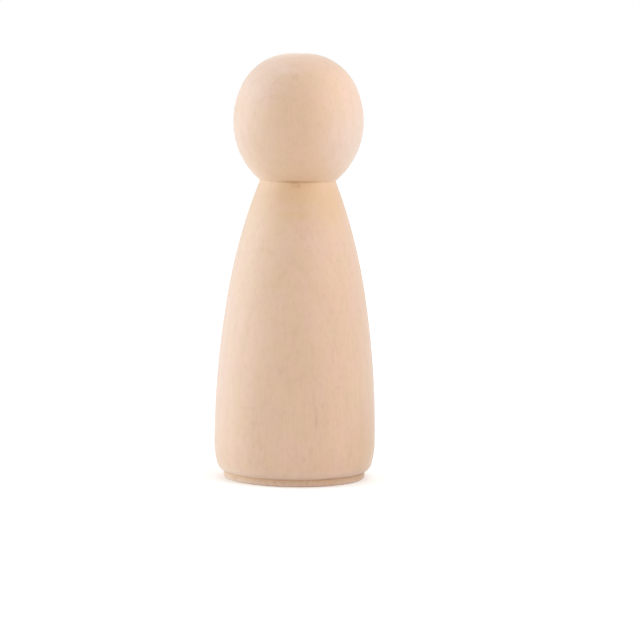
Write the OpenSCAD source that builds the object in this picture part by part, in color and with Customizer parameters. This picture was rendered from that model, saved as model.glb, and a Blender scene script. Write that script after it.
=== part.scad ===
// Peg doll in its plain girl form, turned from one stick of pale wood.
// Millimetres, +Z up along the turning axis, origin at the centre of the flat foot.
// The outline is set by a few widths with their heights, joined by arcs that run
// smoothly into one another, as a turner works from the marks on a story stick.

/* [Overall] */
// Height from the table to the flat of the crown
doll_h = 65; // [62:0.5:68]

/* [Head] */
// Width of the small flat at the crown
crown_flat_d = 2.4; // [1.6:0.1:3.6]
// Width of the head at the brow, where the crown's curve begins
brow_d = 17.4; // [17.1:0.1:17.7]
// Drop from the crown to the brow
brow_drop = 4.9; // [4.7:0.05:5.1]
// Width of the head at its widest
head_d = 19.9; // [19.5:0.1:20.5]
// Drop from the crown to the head's widest place
head_drop = 10.4; // [9.9:0.1:10.9]

/* [Neck] */
// Width at the crease, measured where the head's curve runs down to the shoulder's
neck_d = 11.6; // [11.1:0.1:12.1]
// Drop from the crown to the crease
neck_drop = 19.35; // [18.8:0.05:20]
// Radius that the tool's nose leaves at the root of the crease
crease_r = 0.3; // [0.1:0.05:0.6]

/* [Body] */
// Width where the long skirt curve passes into the shoulder
waist_d = 21; // [20.6:0.1:21.6]
// Height of that place above the table
waist_h = 28.6; // [26.6:0.2:30.6]
// Width of the body at its widest
skirt_d = 24.75; // [24.2:0.05:25.3]
// Height of the body's widest place above the table
skirt_h = 5.5; // [4.8:0.1:6.2]
// Width where the rounding of the lower edge begins
hem_d = 23.85; // [23.6:0.05:24.05]
// Height at which that rounding begins
hem_h = 2.2; // [2.05:0.05:2.35]

/* [Foot] */
// Width of the foot that the doll stands on
foot_d = 21.7; // [21:0.1:22.2]
// Height of the foot
foot_h = 1.1; // [0.9:0.05:1.3]
// Width of the ledge between the foot and the rounded lower edge
ledge_w = 0.12; // [0.06:0.02:0.2]
// Radius of the cove that the tool's nose cuts along the ledge
step_r = 0.18; // [0.14:0.02:0.24]
// Rounding of the foot's lower edge
foot_edge_r = 0.2; // [0.1:0.05:0.3]

/* [Hidden] */
$fn = 180;
// Longest stretch of outline, and most turn in degrees, drawn as one straight line
stretch_max = 1.2;
turn_max = 3;

// Places on the outline, each as [distance from the axis, height]
sole = [foot_d / 2 - foot_edge_r, 0];
foot = [foot_d / 2, foot_edge_r];
step = [foot_d / 2, foot_h];
ledge = step + [ledge_w, 0];
hem = [hem_d / 2, hem_h];
skirt = [skirt_d / 2, skirt_h];
waist = [waist_d / 2, waist_h];
neck = [neck_d / 2, doll_h - neck_drop];
head = [head_d / 2, doll_h - head_drop];
brow = [brow_d / 2, doll_h - brow_drop];
crown = [crown_flat_d / 2, doll_h];

// Direction to an arc's centre from a place where the outline runs upright
inward = [-1, 0];
// Direction from place p to the centre c
function toward(p, c) = (c - p) / norm(c - p);
// Centre, in direction u from place p, of the arc that joins p to place q
function centre(p, u, q) = p + u * ((q - p) * (q - p)) / (2 * (q - p) * u);

// Radius of the arc about the centre c through place p, negative where the arc is hollow
function bulge(c, p) = sign(p[0] - c[0]) * norm(p - c);
// Centre of a round of radius r in the corner between two arcs that meet at place p: a and b
// are the arcs' centres
function corner(a, b, p, r) =
    let (
        u = toward(a, b),
        reach_a = bulge(a, p) + r,
        reach_b = bulge(b, p) + r,
        along = (norm(b - a) + (reach_a * reach_a - reach_b * reach_b) / norm(b - a)) / 2,
        across = sign(reach_a) * sqrt(reach_a * reach_a - along * along)
    )
    a + along * u + across * [u[1], -u[0]];

// Arc centres: each form starts upright at its widest place, and the next arc follows on
belly_c = centre(skirt, inward, hem);
hem_c = centre(hem, toward(hem, belly_c), ledge);
skirt_c = centre(skirt, inward, waist);
shoulder_c = centre(waist, toward(waist, skirt_c), neck);
cheek_c = centre(head, inward, neck);
brow_c = centre(head, inward, brow);
crown_c = centre(brow, toward(brow, brow_c), crown);
foot_c = [sole[0], foot[1]];

// The root of the crease is rounded, from the collar on the shoulder to the jaw on the head
root_c = corner(shoulder_c, cheek_c, neck, crease_r);
collar = shoulder_c + norm(neck - shoulder_c) * toward(shoulder_c, root_c);
jaw = cheek_c + norm(neck - cheek_c) * toward(cheek_c, root_c);

// Bearing of place p as seen from the centre c
function bearing(c, p) = atan2(p[1] - c[1], p[0] - c[0]);
// Points of the arc about c from place p, itself left out, the short way to place q
function arc(c, p, q) =
    let (
        radius = norm(q - c),
        start = bearing(c, p),
        turn = (bearing(c, q) - start + 540) % 360 - 180,
        count = ceil(max(abs(turn) / turn_max, norm(q - p) / stretch_max))
    )
    [for (i = [1:count]) c + radius * [cos(start + turn * i / count), sin(start + turn * i / count)]];

// Half of the doll's outline, from the middle of the foot up to the middle of the crown
outline = [
    [0, 0],
    sole,
    each arc(foot_c, sole, foot),
    step,
    ledge,
    each arc(hem_c, ledge, hem),
    each arc(belly_c, hem, skirt),
    each arc(skirt_c, skirt, waist),
    each arc(shoulder_c, waist, collar),
    each arc(root_c, collar, jaw),
    each arc(cheek_c, jaw, head),
    each arc(brow_c, head, brow),
    each arc(crown_c, brow, crown),
    [0, doll_h]
];

// One solid turning: crown, head, crease, body, step and foot are the same wood
module peg_doll() {
    color([0.91, 0.79, 0.67])
        rotate_extrude()
            difference() {
                polygon(outline);
                translate(ledge) circle(r = step_r);
            }
}

peg_doll();
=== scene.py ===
"""A plain turned wooden peg doll, 65 mm tall, standing on a pale table in soft light."""
import math

import bpy
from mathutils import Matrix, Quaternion, Vector, geometry


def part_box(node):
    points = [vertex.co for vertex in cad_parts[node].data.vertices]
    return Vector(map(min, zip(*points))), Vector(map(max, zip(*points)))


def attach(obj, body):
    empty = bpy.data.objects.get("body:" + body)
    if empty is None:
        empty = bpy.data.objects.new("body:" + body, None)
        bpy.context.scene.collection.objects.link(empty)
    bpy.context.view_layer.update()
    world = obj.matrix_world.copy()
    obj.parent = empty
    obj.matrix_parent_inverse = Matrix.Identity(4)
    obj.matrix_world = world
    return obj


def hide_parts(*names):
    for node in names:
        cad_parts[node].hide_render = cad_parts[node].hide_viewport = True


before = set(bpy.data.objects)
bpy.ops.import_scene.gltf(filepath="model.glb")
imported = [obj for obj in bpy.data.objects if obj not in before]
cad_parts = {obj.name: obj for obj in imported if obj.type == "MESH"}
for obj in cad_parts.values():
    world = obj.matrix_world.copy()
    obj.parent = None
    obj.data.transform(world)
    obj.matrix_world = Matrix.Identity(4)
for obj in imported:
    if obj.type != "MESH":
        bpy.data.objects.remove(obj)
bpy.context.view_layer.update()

# The doll: head, body and foot in one, turned from one stick of pale, close-grained hardwood and
# parted off at the foot. The turner works to a few widths and heights, here in millimetres, and
# smooth arcs join them: crown, brow, head, neck crease, waist, skirt, hem and foot.
MM = 0.001
far_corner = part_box("peg_doll")[1]
doll_h = far_corner.z / MM
crown_flat_d = 2.4
brow_d = 17.4
brow_drop = 4.9
head_d = 19.9
head_drop = 10.4
neck_d = 11.6
neck_drop = 19.35
crease_r = 0.3
waist_d = 21.0
waist_h = 28.6
skirt_r = far_corner.x / MM
skirt_h = 5.5
hem_d = 23.85
hem_h = 2.2
foot_r = 10.85
foot_h = 1.1
foot_edge_r = 0.2
ledge_w = 0.12
step_r = 0.18

sole_middle = Vector((0.0, 0.0))
sole_rim = Vector((foot_r - foot_edge_r, 0.0))
foot_edge_c = Vector((sole_rim.x, foot_edge_r))
foot_side = Vector((foot_r, foot_edge_r))
foot_top = Vector((foot_r, foot_h))
ledge = Vector((foot_r + ledge_w, foot_h))
hem = Vector((hem_d / 2, hem_h))
skirt = Vector((skirt_r, skirt_h))
waist = Vector((waist_d / 2, waist_h))
neck = Vector((neck_d / 2, doll_h - neck_drop))
head = Vector((head_d / 2, doll_h - head_drop))
brow = Vector((brow_d / 2, doll_h - brow_drop))
crown = Vector((crown_flat_d / 2, doll_h))
crown_middle = Vector((0.0, doll_h))
inward = Vector((-1.0, 0.0))


def centre(start, direction, end):
    """Centre, in that direction from start, of the arc that joins start to end."""
    chord = end - start
    return start + direction * (chord.length_squared / (2 * chord.dot(direction)))


def bearing(middle, place):
    """Angle at which a place lies, seen from the middle."""
    return math.atan2(place.y - middle.y, place.x - middle.x)


def straight(start, end, count):
    """Points along a straight stretch, its start left out."""
    return [start.lerp(end, i / count) for i in range(1, count + 1)]


def sweep(middle, radius, start, turn, count):
    """Points along an arc about the middle, its start left out."""
    angles = [start + turn * i / count for i in range(1, count + 1)]
    return [middle + radius * Vector((math.cos(a), math.sin(a))) for a in angles]


def arc(middle, start, end, stretch):
    """Points from start, itself left out, the short way to end, about a stretch apart."""
    begin = bearing(middle, start)
    radius = (end - middle).length
    turn = (bearing(middle, end) - begin + math.pi) % math.tau - math.pi
    return sweep(middle, radius, begin, turn, max(2, math.ceil(radius * abs(turn) / stretch)))


def score(line, place, radius, count):
    """The line with the round mark of a tool's nose cut into it at that place."""
    inside = [i for i, p in enumerate(line) if (p - place).length < radius]
    before, after = line[:inside[0]], line[inside[-1] + 1:]
    begin = bearing(place, before[-1])
    turn = -((begin - bearing(place, after[0])) % math.tau)
    inset = 0.02
    return before + sweep(place, radius, begin - inset, turn + 2 * inset, count) + after


belly_c = centre(skirt, inward, hem)
hem_c = centre(hem, (belly_c - hem).normalized(), ledge)
skirt_c = centre(skirt, inward, waist)
shoulder_c = centre(waist, (skirt_c - waist).normalized(), neck)
cheek_c = centre(head, inward, neck)
brow_c = centre(head, inward, brow)
crown_c = centre(brow, (brow_c - brow).normalized(), crown)

shoulder_r = (neck - shoulder_c).length
cheek_r = (neck - cheek_c).length
root_c, _ = geometry.intersect_sphere_sphere_2d(
    shoulder_c, shoulder_r + crease_r, cheek_c, cheek_r + crease_r
)
collar = shoulder_c + shoulder_r * (root_c - shoulder_c).normalized()
jaw = cheek_c + cheek_r * (root_c - cheek_c).normalized()

sole_steps = 62
foot_edge_stretch = 0.06
foot_side_steps = 8
crown_steps = 4
cove_steps = 7
outline = [sole_middle]
outline += straight(sole_middle, sole_rim, sole_steps)
outline += arc(foot_edge_c, sole_rim, foot_side, foot_edge_stretch)
outline += straight(foot_side, foot_top, foot_side_steps)
outline += [ledge]
for middle, start, end, stretch in (
    (hem_c, ledge, hem, 0.1),
    (belly_c, hem, skirt, 0.25),
    (skirt_c, skirt, waist, 0.32),
    (shoulder_c, waist, collar, 0.28),
    (root_c, collar, jaw, 0.04),
    (cheek_c, jaw, head, 0.24),
    (brow_c, head, brow, 0.3),
    (crown_c, brow, crown, 0.3),
):
    outline += arc(middle, start, end, stretch)
outline += straight(crown, crown_middle, crown_steps)
outline = score(outline, ledge, step_r, cove_steps)

pattern = bpy.data.meshes.new("outline")
points = [(p.x * MM, 0.0, p.y * MM) for p in outline]
pattern.from_pydata(points, [(i, i + 1) for i in range(len(points) - 1)], [])
doll = bpy.data.objects.new("turned_doll", pattern)
bpy.context.scene.collection.objects.link(doll)


class Wire:
    """A socket of a node tree. Arithmetic on it adds Math nodes, and node() adds any other."""

    def __init__(self, tree, socket=None):
        self.tree = tree
        self.socket = socket

    def node(self, kind, settings=None, values=None, out=0):
        """A new node, its settings made first, then the values or links of its sockets."""
        made = self.tree.nodes.new(kind)
        for name, value in (settings or {}).items():
            setattr(made, name, value)
        for name, value in (values or {}).items():
            if isinstance(value, Wire):
                self.tree.links.new(value.socket, made.inputs[name])
            else:
                made.inputs[name].default_value = value
        return Wire(self.tree, made.outputs[out] if made.outputs else None)

    def beside(self, out):
        """Another output of the same node."""
        return Wire(self.tree, self.socket.node.outputs[out])

    def math(self, operation, *others):
        """A Math node on this socket and the others."""
        values = dict(enumerate((self, *others)))
        return self.node("ShaderNodeMath", {"operation": operation}, values)

    def __add__(self, other):
        return self.math("ADD", other)

    def __sub__(self, other):
        return self.math("SUBTRACT", other)

    def __rsub__(self, other):
        return self.math("MULTIPLY_ADD", -1.0, other)

    def __mul__(self, other):
        return self.math("MULTIPLY", other)

    def __truediv__(self, other):
        return self.math("DIVIDE", other)

    def __abs__(self):
        return self.math("ABSOLUTE")

    __radd__ = __add__
    __rmul__ = __mul__

    def step(self, start, end, low=0.0, high=1.0):
        """Runs smoothly from low, at start, to high, at end."""
        return self.node(
            "ShaderNodeMapRange",
            {"interpolation_type": "SMOOTHSTEP"},
            {0: self, 1: start, 2: end, 3: low, 4: high},
        )

    def vector(self, operation, *others, out="Vector"):
        """A Vector Math node on this socket and the others."""
        values = dict(enumerate((self, *others)))
        return self.node("ShaderNodeVectorMath", {"operation": operation}, values, out)

    def stretched(self, x, y, z):
        """The place scaled each way, so that a pattern on it gets that many times finer."""
        return self.vector("MULTIPLY", (x, y, z))

    def length(self):
        """Distance of the place from zero."""
        return self.vector("LENGTH", out="Value")

    def axis(self, name):
        """The place along one axis: X, Y or Z."""
        return self.node("ShaderNodeSeparateXYZ", None, {0: self}, name)

    def noise(self, detail=2.0, roughness=0.5, w=0.0):
        """Soft random change over a place, from 0 to 1."""
        return self.node(
            "ShaderNodeTexNoise",
            {"noise_dimensions": "4D"},
            {"Vector": self, "W": w, "Scale": 1.0, "Detail": detail, "Roughness": roughness},
        )

    def tint(self, first, second):
        """Mixes two colours, this socket saying how much of the second."""
        return self.node(
            "ShaderNodeMix", {"data_type": "RGBA"}, {0: self, 6: first, 7: second}, 2
        )

    def patch(self, x, z, half_w, half_h):
        """1 in the middle of an upright oval on the doll's front, and 0 outside it."""
        aside = (self.axis("X") - x) / half_w
        along = (self.axis("Z") - z) / half_h
        front = self.axis("Y").step(0.0, -1.0)
        return (aside * aside + along * along).step(1.0, 0.1) * front

    def patches(self, *rows):
        """The sum of several patches. A row holds a patch's x, z, half_w, half_h and strength."""
        return sum(self.patch(*oval) * strength for *oval, strength in rows)

    def around(self, middle, reach):
        """1 about the middle of an egg of that reach each way, and 0 outside it."""
        return self.vector("SUBTRACT", middle).vector("DIVIDE", reach).length().step(1.0, 0.15)


# The turned form. The outline spins round the axis in fine steps. The cut wanders a few
# hundredths of a millimetre along the axis. The foot, parted off last, is left rougher, with
# the rings of the parting tool on its sole, and a chip is torn out under the crease.
turning = bpy.data.node_groups.new("turning", "GeometryNodeTree")
turning_inputs = {
    "Outline": ("NodeSocketGeometry", None),
    "Segments": ("NodeSocketInt", 240),
    "Wander": ("NodeSocketFloat", 0.025 * MM),
    "Foot wear": ("NodeSocketFloat", 0.09 * MM),
    "Sole marks": ("NodeSocketFloat", 0.05 * MM),
    "Chip": ("NodeSocketFloat", 0.16 * MM),
    "Wood": ("NodeSocketMaterial", None),
}
sockets = {}
for name, (kind, value) in turning_inputs.items():
    sockets[name] = turning.interface.new_socket(name, in_out="INPUT", socket_type=kind)
turning.interface.new_socket("Doll", in_out="OUTPUT", socket_type="NodeSocketGeometry")
form = Wire(turning)
first_input = form.node("NodeGroupInput")
given = {name: first_input.beside(name) for name in turning_inputs}

# A grid has a row for each point of the outline, and is rolled up round the axis.
rings = form.node(
    "GeometryNodeAttributeDomainSize", {"component": "MESH"}, {0: given["Outline"]}
)
sheet = form.node(
    "GeometryNodeMeshGrid",
    None,
    {"Size X": 1.0, "Size Y": 1.0, "Vertices X": given["Segments"] + 1, "Vertices Y": rings},
)
where = form.node("GeometryNodeInputPosition")
mark = form.node(
    "GeometryNodeSampleIndex",
    {"data_type": "FLOAT_VECTOR"},
    {
        "Geometry": given["Outline"],
        "Value": where,
        "Index": (where.axis("Y") + 0.5) * (rings - 1) + 0.5,
    },
)
angle = (where.axis("X") + 0.5) * math.tau
spun = form.node(
    "ShaderNodeCombineXYZ",
    None,
    {
        "X": mark.axis("X") * angle.math("COSINE"),
        "Y": mark.axis("X") * angle.math("SINE"),
        "Z": mark.axis("Z"),
    },
)
placed = form.node("GeometryNodeSetPosition", None, {"Geometry": sheet, "Position": spun})
weld = 0.0001 * MM
closed = form.node("GeometryNodeMergeByDistance", None, {"Geometry": placed, "Distance": weld})

# Each point then goes in by its depth, and on the sole up by its rise.
place = where.stretched(1 / MM, 1 / MM, 1 / MM)
level = place.axis("Z")
from_axis = place.stretched(1, 1, 0)
radius = from_axis.length()
wander = place.stretched(0.01, 0.01, 0.55).noise(3.0, w=3.1) * given["Wander"]
at_foot = level.step(foot_h + 0.25, foot_h - 0.15) * radius.step(foot_r - 1.35, foot_r - 0.25)
torn = place.stretched(2.2, 2.2, 1.4).noise(3.0, 0.6, w=7.7).step(0.35, 0.8)
chip = place.patch(0.15, 45.15, 0.28, 0.42)
depth = wander + at_foot * torn * given["Foot wear"] + chip * given["Chip"]
on_sole = level.step(0.02, 0.0) * radius.step(foot_r - 0.25, foot_r - 0.65)
radians_per_mm = 7.5
uneven = place.stretched(0.4, 0.4, 0.0).noise(w=5.5) * 1.6
groove = (radius * radians_per_mm + uneven).math("SINE") * 0.5 + 0.5
nub = radius.step(1.1, 0.6) * 0.8
rise = on_sole * (groove * radius.step(0.3, 2.5) * 0.5 + nub) * given["Sole marks"]
lift = form.node("ShaderNodeCombineXYZ", None, {"Z": rise})
cut = from_axis.vector("NORMALIZE").vector("MULTIPLY", depth)
worn = form.node(
    "GeometryNodeSetPosition", None, {"Geometry": closed, "Offset": lift.vector("SUBTRACT", cut)}
)
smooth = form.node("GeometryNodeSetShadeSmooth", None, {0: worn})
real = form.node("GeometryNodeRealizeInstances", None, {0: smooth})
dressed = form.node("GeometryNodeSetMaterial", None, {"Geometry": real, "Material": given["Wood"]})
form.node("NodeGroupOutput", None, {0: dressed})

# The wood, left bare. Growth rings and fibres run up the stick: faint upright lines on the sides,
# arcs and dots where it is cut across. Paler patches on the head are painted highlights, and the
# paler hem is painted light thrown up from the table. The crease is brown, partly where the tool
# rubbed it and partly as painted shade, and the tool stained the foot down to a pale lip.
wood = bpy.data.materials.new("bare_wood")
wood.use_nodes = True
wood.node_tree.nodes.clear()
timber = Wire(wood.node_tree)
seat = timber.node("ShaderNodeTexCoord", out="Object")
spot = seat.stretched(1 / MM, 1 / MM, 1 / MM)
height = spot.axis("Z")
upright = seat.beside("Normal").axis("Z")
across = (upright * upright).step(0.25, 0.95)

ROSY = (0.782, 0.517, 0.384, 1)
CREAM = (0.765, 0.524, 0.357, 1)
PALE = (0.792, 0.588, 0.492, 1)
# The tone of the painted flank highlights.
FLANK_LIGHT = (0.788, 0.545, 0.455, 1)
TAN = (0.560, 0.345, 0.205, 1)
HONEY = (0.730, 0.455, 0.225, 1)
RUST = (0.430, 0.205, 0.085, 1)

# The grain runs about a pith that lies well behind the doll, and bends a little on its way up.
pith = (2.0, 40.0, 0.0)
ring_gap = 1.75
bend = (1.2, 1.2, 0.0)
shake = spot.stretched(0.4, 0.4, 0.2).noise(2.0, w=1.3)
bent = shake.beside("Color").vector("MULTIPLY_ADD", bend, spot)
from_pith = bent.vector("SUBTRACT", pith).stretched(1, 1, 0).length()
ring = from_pith / ring_gap + spot.stretched(0.12, 0.12, 0.01).noise(1.0, w=4.0) * 1.5
late = ring.math("FRACT").step(0.25, 0.95)
fibre = bent.stretched(4.5, 4.5, 0.14).noise(3.0, 0.55, w=2.0)
vein = bent.stretched(1.5, 1.5, 0.06).noise(2.0, 0.5, w=9.0)
broken = spot.stretched(0.9, 0.9, 0.45).noise(2.0, 0.5, w=11.0).step(0.42, 0.6)
line = abs(vein - 0.5).step(0.035, 0.0) * broken
fleck = bent.stretched(1.1, 1.1, 0.75).noise(3.0, 0.7, w=13.0).step(0.42, 0.76)
cloud = spot.stretched(0.42, 0.42, 0.24).noise(2.0, w=5.0).step(0.35, 0.65)
single_flecks = bent.patches(
    (3.45, 13.2, 0.20, 2.0, 0.16),
    (3.80, 10.6, 0.24, 2.2, 0.28),
    (3.05, 5.7, 0.45, 1.0, 0.20),
    (2.0, 4.4, 0.45, 0.7, 0.18),
    (6.0, 19.9, 0.16, 1.9, 0.22),
    (-0.96, 11.5, 0.40, 0.45, 0.16),
    (0.0, 11.3, 0.35, 0.40, 0.16),
    (5.5, 10.0, 0.50, 0.55, 0.14),
    (3.46, 16.5, 0.55, 0.40, 0.10),
    (0.93, 16.5, 0.50, 0.45, 0.12),
    (-3.5, 20.9, 0.50, 0.60, 0.10),
    (-3.4, 18.3, 0.80, 0.45, 0.12),
    (-6.9, 18.0, 0.40, 0.50, 0.12),
    (-6.4, 11.8, 1.70, 0.45, 0.12),
    (-5.2, 9.6, 1.00, 0.40, 0.10),
    (-6.9, 7.2, 0.30, 1.00, 0.12),
    (-0.05, 61.3, 0.85, 0.60, 0.16),
    (-2.8, 58.4, 1.10, 0.70, 0.13),
)
grain = late * 0.06 + fibre.step(0.3, 0.75) * 0.10 + line * 0.11 + fleck * 0.17
figure = grain + across * 0.16 + single_flecks

# The foot is stained, apart from a pale lip near the table, and its lowest edge is darker again:
# a painted contact shadow.
foot = height.step(foot_h + 0.25, foot_h - 0.2)
lip = height.step(0.8, 0.35) * (1 - across)
# Painted contact shadow along the lowest edge of the foot.
painted_base_shadow = height.step(0.20, 0.05) * (1 - across)
stain = spot.stretched(1.1, 1.1, 0.9).noise(3.0, 0.6, w=17.0).step(0.4, 0.7)
soiled = foot * (1 - lip * 0.7)

# The crease is brown, partly where the tool rubbed it and partly as painted shade in the crease,
# most of all on the front. Small rusty marks lie just under it, on the skirt and round the foot.
from_root = abs(height - neck.y)
burn_and_shade_patches = spot.stretched(0.5, 0.5, 0.0).noise(2.0, w=19.0).step(0.45, 0.7)
# Darker brown in the crease: the tool's burn, and painted shade that is strongest on the front.
crease = (
    from_root.step(0.22, 0.03) * 0.14
    + from_root.step(0.45, 0.05) * burn_and_shade_patches * spot.axis("Y").step(-2.0, 1.0) * 0.3
    + from_root.step(0.32, 0.05) * spot.patch(0.1, neck.y, 3.7, 3.0) * 0.37
    + spot.patch(-0.9, neck.y, 1.2, 0.40) * 0.10
)
rusty = spot.patches(
    (6.5, 15.1, 0.8, 0.42, 0.09),
    (-0.4, 45.2, 1.0, 0.6, 0.20),
    (-8.9, 0.55, 0.50, 0.35, 0.26),
    (-2.9, 0.60, 0.40, 0.35, 0.20),
    (-1.7, 0.55, 0.55, 0.25, 0.18),
    (1.9, 0.55, 0.25, 0.45, 0.24),
    (6.0, 1.25, 1.40, 0.35, 0.20),
    (9.9, 0.60, 0.90, 0.55, 0.14),
)

# Wide soft changes of tone: warmer about the neck, partly the wood's honey ring and partly painted
# shade under the head; painted highlights on the head and painted table light on the hem; rosy
# painted highlights on the left flank and at both sides of the head; and painted shade low down.
# Painted shade, warmer in tone, under the head and about the neck.
neck_painted_shade = height.step(37.5, 43.0) * height.step(50.0, 44.5) * 0.30
# The honey ring and small honey marks of the wood, and painted shade just under the crease.
honey_marks_and_painted_shade = (
    bent.patch(0.4, 40.7, 3.6, 0.85) * (0.12 + stain * 0.24)
    + bent.patch(5.2, 41.8, 2.3, 3.6) * 0.24
    + spot.patches(
        (0.6, 48.0, 4.2, 4.5, 0.10),
        (5.7, 0.4, 0.9, 0.4, 0.3),
        (-0.1, 38.95, 0.5, 0.75, 0.2),
        (-0.2, 43.9, 4.4, 2.4, 0.18),
    )
)
# Painted highlights on the head, painted table light above the hem, and the pale lip of the foot.
painted_light_and_pale_lip = (
    spot.around((10.0, -6.0, 51.5), (10.0, 10.0, 9.5)) * 0.9
    + spot.around((-6.5, -6.0, 60.5), (7.0, 7.0, 5.5)) * 0.4
    + spot.patch(-2.4, 62.4, 2.6, 0.9) * 0.4
    + height.step(3.0, 1.7) * 0.3
    + lip * 0.5
)
# Painted rosy highlights on the lit left flank and on both sides of the head.
painted_flank_light = (
    spot.around((-13.0, -6.0, 25.0), (6.0, 16.0, 30.0)) * 0.6
    + spot.around((-11.0, -6.0, 51.0), (6.0, 14.0, 8.5)) * 0.6
    + spot.around((10.5, -4.0, 59.0), (5.0, 12.0, 6.5)) * 0.4
)
clear = spot.patch(0.0, 51.5, 6.5, 9.5)
bleached = clear * 0.07 + spot.patch(-2.8, 39.5, 4.0, 4.5) * 0.11
# Painted shade low on the right flank, and low on the front left.
painted_shade_low_right = spot.around((11.5, -6.0, 5.0), (6.0, 7.0, 10.5))
shaded = spot.around((-5.5, -11.0, 8.0), (5.0, 8.0, 11.0))

ground = painted_flank_light.tint(painted_light_and_pale_lip.tint(cloud.tint(ROSY, CREAM), PALE), FLANK_LIGHT)
# The tan and honey mixes carry the grain, stains and marks, and also the painted shade and shadow
# above.
tanned = figure + soiled * stain * 0.3 + painted_base_shadow * 0.35 + painted_shade_low_right * 0.22 + shaded * 0.15 - bleached
honeyed = neck_painted_shade + honey_marks_and_painted_shade + soiled * (0.34 + stain * 0.2) + painted_shade_low_right * 0.2 + clear * 0.13
colour = (crease + rusty).tint(honeyed.tint(tanned.tint(ground, TAN), HONEY), RUST)

sanded = spot.stretched(0.35, 0.35, 9.0).noise(w=6.0)
pitted = spot.stretched(5.0, 5.0, 5.0).noise(3.0, 0.6, w=8.0)
bumps = fibre * 0.010 + line * -0.008 + sanded * 0.008 + foot * pitted * 0.03
relief = timber.node("ShaderNodeBump", None, {"Strength": 1.0, "Distance": MM, "Height": bumps})
finish = timber.node(
    "ShaderNodeBsdfPrincipled",
    None,
    {
        "Base Color": colour,
        "Roughness": 0.52 + fibre * 0.10 + foot * 0.15,
        "Specular IOR Level": 0.5,
        "Sheen Weight": 0.5,
        "Sheen Roughness": 0.5,
        "Normal": relief,
    },
)
timber.node("ShaderNodeOutputMaterial", None, {"Surface": finish})

lathe = doll.modifiers.new("turning", "NODES")
lathe.node_group = turning
for name, (_, value) in turning_inputs.items():
    if value is not None:
        lathe[sockets[name].identifier] = value
lathe[sockets["Wood"].identifier] = wood
turned = bpy.data.meshes.new_from_object(doll.evaluated_get(bpy.context.evaluated_depsgraph_get()))
doll.modifiers.remove(lathe)
doll.data = turned
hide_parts("peg_doll")
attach(doll, "root")

# The table: a plain white top that the doll stands on. Further off it is as white as the paper
# behind it, and near the foot it keeps the doll's soft shadow.
table = bpy.data.meshes.new("table")
reach = 4.0
corners = [(-reach, -reach, 0), (reach, -reach, 0), (reach, reach, 0), (-reach, reach, 0)]
table.from_pydata(corners, [], [(0, 1, 2, 3)])
floor = bpy.data.objects.new("table_top", table)
bpy.context.scene.collection.objects.link(floor)
white = bpy.data.materials.new("white_table")
white.use_nodes = True
white.node_tree.nodes.clear()
top = Wire(white.node_tree)


def seen(wire):
    """1 where the camera, a gloss or a clear piece looks, and 0 for other light."""
    path = wire.node("ShaderNodeLightPath", out="Is Camera Ray")
    gloss = path.beside("Is Glossy Ray")
    return path.math("MAXIMUM", gloss).math("MAXIMUM", path.beside("Is Transmission Ray"))


from_doll = top.node("ShaderNodeTexCoord", out="Object").length()
paper = seen(top) * from_doll.step(0.03, 0.5, 0.20, 0.60)
paint = top.node("ShaderNodeBsdfDiffuse", None, {"Color": (0.95, 0.95, 0.95, 1)})
glow = top.node("ShaderNodeEmission", None, {"Color": paper.tint((0, 0, 0, 1), (1, 1, 1, 1))})
both = top.node("ShaderNodeAddShader", None, {0: paint, 1: glow})
top.node("ShaderNodeOutputMaterial", None, {"Surface": both})
table.materials.append(white)

# The light: white all round, with a large soft lamp on the left, two small ones close by on the
# right and a wide one above, so that both flanks are brighter than the front.
all_round = 0.45
world = bpy.data.worlds.new("studio")
bpy.context.scene.world = world
world.use_nodes = True
world.node_tree.nodes.clear()
sky = Wire(world.node_tree)
strength = all_round + seen(sky) * (1 - all_round)
backdrop = sky.node("ShaderNodeBackground", None, {"Color": (1, 1, 1, 1), "Strength": strength})
sky.node("ShaderNodeOutputWorld", None, {"Surface": backdrop})
doll_middle = Vector((0, 0, doll_h * MM / 2))
for name, stand, width, tall, power, tone in (
    ("left_lamp", (-0.44, 0.03, 0.10), 0.45, 0.4, 2.08, (0.84, 0.96, 1.0)),
    ("right_lamp", (0.07, -0.01, 0.09), 0.05, 0.05, 0.024, (0.90, 0.97, 1.0)),
    ("right_front_lamp", (0.09, -0.10, 0.09), 0.06, 0.06, 0.050, (1.0, 0.97, 0.90)),
    ("top_lamp", (0.0, 0.1, 0.5), 0.4, 0.4, 0.69, (0.97, 0.98, 1.0)),
):
    lamp = bpy.data.lights.new(name, "AREA")
    lamp.color = tone
    lamp.shape = "RECTANGLE"
    lamp.size = width
    lamp.size_y = tall
    lamp.energy = power
    rig = bpy.data.objects.new(name, lamp)
    rig.location = stand
    rig.rotation_euler = (doll_middle - rig.location).to_track_quat("-Z", "Y").to_euler()
    bpy.context.scene.collection.objects.link(rig)

# The photograph's viewpoint: a long lens, 400 mm off and level with the doll's head, turned a
# little so that the doll leans to the right and stands left of the middle.
eye = Vector((0, -0.4, 0.062))
aim = Vector((0.00367, 0, 0.02428))
lean = math.radians(0.75)
camera = bpy.data.cameras.new("camera")
camera.sensor_width = 36
camera.lens = 147.2
viewer = bpy.data.objects.new("camera", camera)
viewer.location = eye
viewer.rotation_mode = "QUATERNION"
roll = Quaternion((0, 0, 1), lean)
viewer.rotation_quaternion = (aim - eye).to_track_quat("-Z", "Y") @ roll
bpy.context.scene.collection.objects.link(viewer)
bpy.context.scene.camera = viewer
bpy.context.scene.view_settings.view_transform = "Standard"
